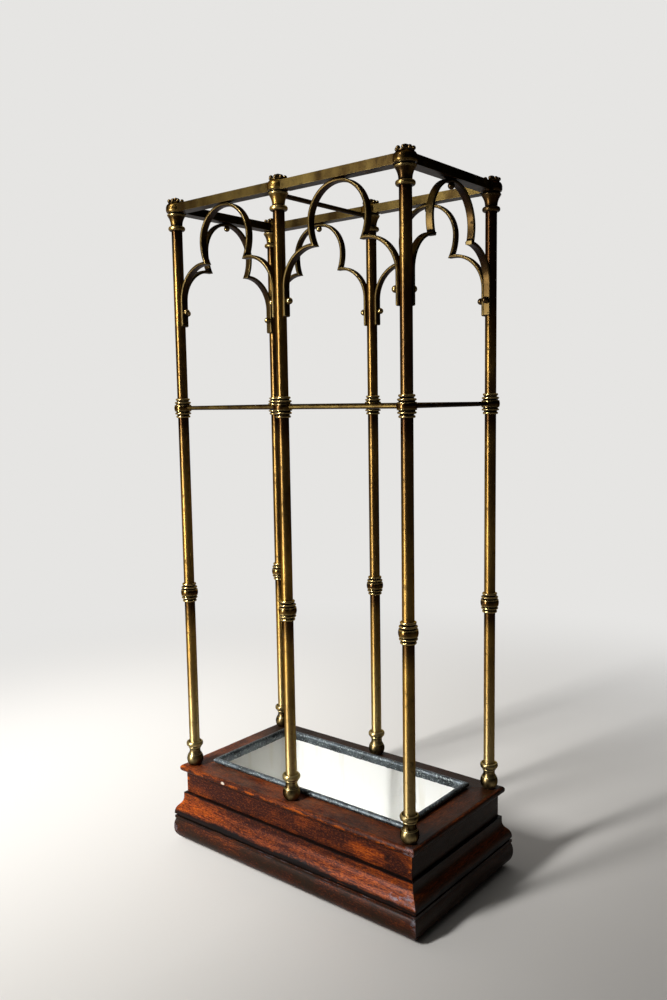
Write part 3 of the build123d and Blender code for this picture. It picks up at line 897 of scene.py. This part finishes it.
class STAND_OT_arches(bpy.types.Operator):
    """Make the trefoil arches of round-edged bar, and their ball-headed screws"""

    bl_idname = "stand.arches"
    bl_label = "Arches"

    def along_bar(self, bm, node):
        """The sharp edges that run along the bar, on one or the other of its narrow sides."""
        low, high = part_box(node)
        across = 1 if high.x - low.x > high.y - low.y else 0
        centre = (low[across] + high[across]) / 2
        edges = sharp_edges(bm)
        return [e for e in edges if abs(sum(v.co[across] - centre for v in e.verts)) > 1 * MM]

    def screws(self, node):
        """Screws through the legs and, but for the front arches, the crown, their balls inside the arch."""
        size = bpy.context.scene.stand_turning.screw_size
        strip, from_leg_end = 3.2 * MM, 14.5 * MM
        low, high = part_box(node)
        centre = (low + high) / 2
        along = Vector((1, 0, 0)) if high.x - low.x > high.y - low.y else Vector((0, 1, 0))
        half = (high - low).dot(along) / 2
        sit = strip + size * 0.36
        places = [centre + along * side * (half - sit) for side in (-1, 1)]
        for place in places:
            place.z = low.z + from_leg_end
        if "front" not in node:
            places.append(Vector((centre.x, centre.y, high.z - sit)))
        bm = bmesh.new()
        for place in places:
            bmesh.ops.create_uvsphere(
                bm, u_segments=28, v_segments=18, radius=size / 2, matrix=Matrix.Translation(place)
            )
        finish_piece(node + "_screws", bm, [finish("grooved_brass")], "stand")

    def execute(self, context):
        edge = context.scene.stand_turning.arch_edge
        for node in named("arch_"):
            bm = solid_copy(node, whole_faces=False)
            eased(bm, self.along_bar(bm, node), edge, segments=4, clamp=False)
            # The end arches take the darker copy of the bar's brass, a painted shade.
            brass = finish("shaded_brass_bar" if node.endswith("_end") else "bent_brass_bar")
            finish_piece(node + "_bent", bm, [brass], "stand", [node], flat_faces=True)
            self.screws(node)
        return {"FINISHED"}


class STAND_OT_plinth(bpy.types.Operator):
    """Make the mitred lengths of the plinth: top, frieze, ogee moulding and base moulding"""

    bl_idname = "stand.plinth"
    bl_label = "Plinth"

    def supported(self, outline, reach):
        """The outline with a point a little to each side of every corner, where wear and shading stop."""
        room = 2.5 * reach
        points = []
        for before, point, after in zip(outline[-1:] + outline, outline, outline[1:] + outline[:1]):
            here = Vector(point)
            back, on = Vector(before) - here, Vector(after) - here
            if back.length > room:
                points.append(here + back.normalized() * reach)
            points.append(here)
            if on.length > room:
                points.append(here + on.normalized() * reach)
        return points

    def top(self, side):
        """Board with a rounded nose."""
        low, high = levels("plinth_top_front")
        out, nose = 12.0, 3.0
        # What makes a quarter circle of a bowed line, near enough.
        quarter = 0.41 * nose * 0.5
        inside = 17.0 if side in ("front", "back") else 19.5
        lower = bowed((out - nose, low), (out, low + nose), quarter, 6)
        upper = bowed((out, high - nose), (out - nose, high), quarter, 6)
        return [(-inside, low)] + lower + upper + [(-inside, high)]

    def frieze(self, _side):
        """Plain board."""
        low, high = levels("plinth_frieze_front")
        out, thickness = 6.8, 14.0
        return [(out - thickness, low), (out, low), (out, high), (out - thickness, high)]

    def ogee(self, _side):
        """Fillet, hollow and round, planted on the frieze."""
        low, high = levels("plinth_ogee_front")
        back, fillet, shoulder, out = 6.8, 9.8, high - 5.0, 17.4
        bend = ((fillet + out) / 2, 40.5)
        swell = bowed((out, low), bend, 1.3, 8)
        hollow = bowed(bend, (fillet, shoulder), -1.0, 8)
        return [(back, low)] + swell + hollow[1:] + [(fillet, high), (back, high)]

    def base(self, _side):
        """Quirk and fillet over a heavy roll."""
        top = height("plinth_base_front", 1) / MM
        inside, sole, out, roll_top = -7.2, 8.0, 18.4, 16.4
        quirk, fillet, belly = top - 2.0, top - 5.0, 15.5
        low = bowed((sole, 0), (out, belly), 3.5, 12)
        high = bowed((out, belly), (roll_top, fillet), 0.5, 6)
        steps = [(17.4, fillet), (17.4, quirk), (15.5, quirk), (15.5, top)]
        return [(inside, 0)] + low + high[1:] + steps + [(inside, top)]

    def execute(self, context):
        # Each layer's warmth of stain, gloss of polish, colour of its worn edges, and place in the pattern.
        wood = context.scene.stand_wood
        looks = {
            "top": (0.15, 0.03, wood.worn, 0.0),
            "frieze": (0.35, 0.02, wood.worn, 0.3),
            "ogee": (0.4, 0.025, wood.worn, 0.6),
            "base": (0.35, 0.03, wood.bloom, 0.9),
        }
        for index, (layer, look) in enumerate(looks.items()):
            for side, (half_run, stand_off, turn) in SIDES.items():
                section = self.supported(getattr(self, layer)(side), reach=0.8)
                bm = mitred_length([(out * MM, z * MM) for out, z in section], half_run, stand_off)
                unevenness(bm, amount=0.3 * MM, size=16 * MM, seed=index + turn / 90)
                turn_matrix = Matrix.Rotation(math.radians(turn), 3, "Z")
                bmesh.ops.rotate(bm, cent=(0, 0, 0), matrix=turn_matrix, verts=bm.verts)
                along = "X" if side in ("front", "back") else "Y"
                name = f"polished_pine_{layer}_{along.lower()}"
                pine = bpy.data.materials.get(name) or polished_pine(name, along, *look)
                node = f"plinth_{layer}_{side}"
                finish_piece(node + "_polished", bm, [pine], "stand", [node])
        dress("bottom_board", finish("sawn_pine"))
        dress("glue_blocks", finish("sawn_pine"))
        return {"FINISHED"}


class STAND_OT_tray(bpy.types.Operator):
    """Make the lift-out drip tray, its rolled edge and its painted inside"""

    bl_idname = "stand.tray"
    bl_label = "Drip tray"

    def execute(self, context):
        low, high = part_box("tray_liner")
        sheet, roll, rows = 0.9 * MM, 2.8 * MM, 18
        dents_per_metre, dent, outward = 90, 0.25 * MM, 0.35
        wall_x, wall_y = high.x - 2 * roll + sheet, high.y - 2 * roll + sheet
        centre = Vector((roll - sheet, high.z - roll))
        start = -math.pi + math.acos(centre.x / roll)
        turns = [start + (math.pi - start) * i / rows for i in range(rows + 1)]
        lip = [(centre.x + roll * math.cos(a), centre.y + roll * math.sin(a)) for a in turns]
        heights = [low.z + (high.z - roll * 2 - low.z) * i / 6 for i in range(7)]
        outer = [(0, z) for z in heights]
        inner = [(-sheet, z) for z in heights[:0:-1]] + [(-sheet, low.z + sheet)]
        bm = mitred_ring(outer + lip + inner, wall_x, wall_y)
        level = [e for e in bm.edges if abs(e.verts[0].co.z - e.verts[1].co.z) < WELD]
        long_edges = [e for e in level if e.calc_length() > wall_y]
        bmesh.ops.subdivide_edges(bm, edges=long_edges, cuts=40, use_grid_fill=False)
        bmesh.ops.holes_fill(bm, edges=[e for e in bm.edges if e.is_boundary], sides=0)
        bmesh.ops.recalc_face_normals(bm, faces=bm.faces)
        for face in bm.faces:
            at = face.calc_center_median()
            facing_in = face.normal.dot(Vector((-at.x, -at.y, 0))) > 0 or face.normal.z > 0.9
            below = low.z + sheet / 2 < at.z < high.z - roll * 1.2
            face.material_index = 1 if facing_in and below else 0
        bm.normal_update()
        for vert in (v for v in bm.verts if v.co.z > high.z - roll * 2.2):
            vert.co += vert.normal * (noise.noise(vert.co * dents_per_metre) - outward) * dent
        paint_top = high.z - context.scene.stand_tray.paint_line
        finishes = [finish("old_zinc"), old_zinc("painted_zinc", paint_top)]
        finish_piece("zinc_tray", bm, finishes, "tray", ["tray_liner"])
        dress("tray_wire", finish("scaled_iron"))
        return {"FINISHED"}


class STAND_OT_stage(bpy.types.Operator):
    """Set the floor, the lamp, the studio's light and the camera"""

    bl_idname = "stand.stage"
    bl_label = "Stage"

    def floor(self, stage):
        """A wide sheet of background paper."""
        bm = bmesh.new()
        bmesh.ops.create_grid(bm, x_segments=1, y_segments=1, size=12)
        mesh = mesh_of("floor", bm)
        mesh.materials.append(seamless_paper(stage.floor, stage.shade, stage.backdrop))
        placed("floor", mesh)

    def soft_box(self, name, turn, rise, power, distance, size):
        """A soft box that turn, rise and distance place from the middle of the stand."""
        target = Vector((0, 0, 0.3))
        away = Vector((math.sin(turn) * math.cos(rise), -math.cos(turn) * math.cos(rise), math.sin(rise)))
        light = bpy.data.lights.new(name, "AREA")
        light.shape = "RECTANGLE"
        light.size, light.size_y = size
        light.energy = power
        lamp = placed(name, light)
        lamp.location = target + away * distance
        lamp.rotation_euler = (-away).to_track_quat("-Z", "Y").to_euler()
        return lamp

    def lamps(self, stage):
        """A soft box in front, high and a little to the left, and a tall strip that only gloss sees."""
        key = self.soft_box(
            "soft_box", stage.lamp_turn, stage.lamp_rise, stage.lamp_power, distance=2.6, size=(0.28, 0.9)
        )
        # Its grid leaves the floor on the right dim.
        aim = Vector((-stage.lamp_aim, 0, 0.1)) - key.location
        key.rotation_euler = aim.to_track_quat("-Z", "Y").to_euler()
        key.data.spread = stage.lamp_spread
        strip = self.soft_box(
            "strip", stage.strip_turn, math.radians(4), stage.strip_power, distance=1.4, size=(0.08, 0.9)
        )
        strip.visible_diffuse = False

    def studio(self, stage):
        """A room whose light comes from above, behind and the left, and is dim in front on the right.

        The camera sees a pale backdrop all round it, and gloss sees that backdrop where it is lit.
        """
        world = bpy.data.worlds.new("studio")
        bpy.context.scene.world = world
        world.use_nodes = True
        world.node_tree.nodes.clear()
        node = partial(add, world.node_tree)
        direction = node("TexCoord", output="Generated")
        facing = node("VectorMath", {0: direction, 1: LIT_SIDE}, output="Value", operation="DOT_PRODUCT")
        room = node("MapRange", {
            "Value": facing, "From Min": 0.1, "From Max": 0.98, "To Min": 0.01, "To Max": 0.7,
        }, interpolation_type="SMOOTHSTEP")
        seen = backdrop_seen(node, direction)
        level = node("Mix", {AMOUNT: seen, LOW: room, HIGH: 1.0})
        background = node("Background", {"Color": stage.backdrop, "Strength": level})
        node("OutputWorld", {"Surface": background})

    def camera(self, stage):
        """The camera, turned round the stand, tipped down and leaned as the settings say."""
        lens = bpy.data.cameras.new("camera")
        lens.lens = stage.lens
        lens.sensor_width = 36
        lens.clip_start = 0.01
        camera = placed("camera", lens)
        turned_round = Matrix.Rotation(stage.azimuth, 4, "Z")
        tipped = Matrix.Rotation(math.pi / 2 - stage.pitch, 4, "X")
        leaned = Matrix.Rotation(stage.roll, 4, "Z")
        camera.matrix_world = Matrix.Translation(stage.camera_place) @ turned_round @ tipped @ leaned
        bpy.context.scene.camera = camera

    def execute(self, context):
        stage = context.scene.stand_stage
        context.scene.view_settings.view_transform = "Standard"
        self.floor(stage)
        self.studio(stage)
        self.lamps(stage)
        self.camera(stage)
        return {"FINISHED"}


class STAND_PT_panel(bpy.types.Panel):
    """Lists the stand's pieces and settings"""

    bl_label = "Stick Stand"
    bl_idname = "STAND_PT_panel"
    bl_space_type = "VIEW_3D"
    bl_region_type = "UI"
    bl_category = "Stick Stand"

    def draw(self, context):
        layout = self.layout
        for operator in OPERATORS:
            layout.operator(operator.bl_idname)
        for name, group in SETTINGS.items():
            box = layout.box()
            settings = getattr(context.scene, name)
            for key in group.__annotations__:
                box.prop(settings, key)


OPERATORS = (
    STAND_OT_tubes,
    STAND_OT_castings,
    STAND_OT_bars,
    STAND_OT_arches,
    STAND_OT_plinth,
    STAND_OT_tray,
    STAND_OT_stage,
)
SETTINGS = {
    "stand_brass": BrassSettings,
    "stand_wood": WoodSettings,
    "stand_tray": TraySettings,
    "stand_turning": TurningSettings,
    "stand_stage": StageSettings,
}
CLASSES = (*SETTINGS.values(), *OPERATORS, STAND_PT_panel)


def register():
    """Registers the classes and hangs the settings on the scene."""
    for cls in CLASSES:
        bpy.utils.register_class(cls)
    for name, group in SETTINGS.items():
        setattr(bpy.types.Scene, name, PointerProperty(type=group))


def unregister():
    """Takes the settings and the classes away again."""
    for name in SETTINGS:
        delattr(bpy.types.Scene, name)
    for cls in reversed(CLASSES):
        bpy.utils.unregister_class(cls)


def main():
    """Registers the add-on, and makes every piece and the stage."""
    register()
    for operator in OPERATORS:
        group, name = operator.bl_idname.split(".")
        getattr(getattr(bpy.ops, group), name)()


if __name__ == "__main__":
    main()
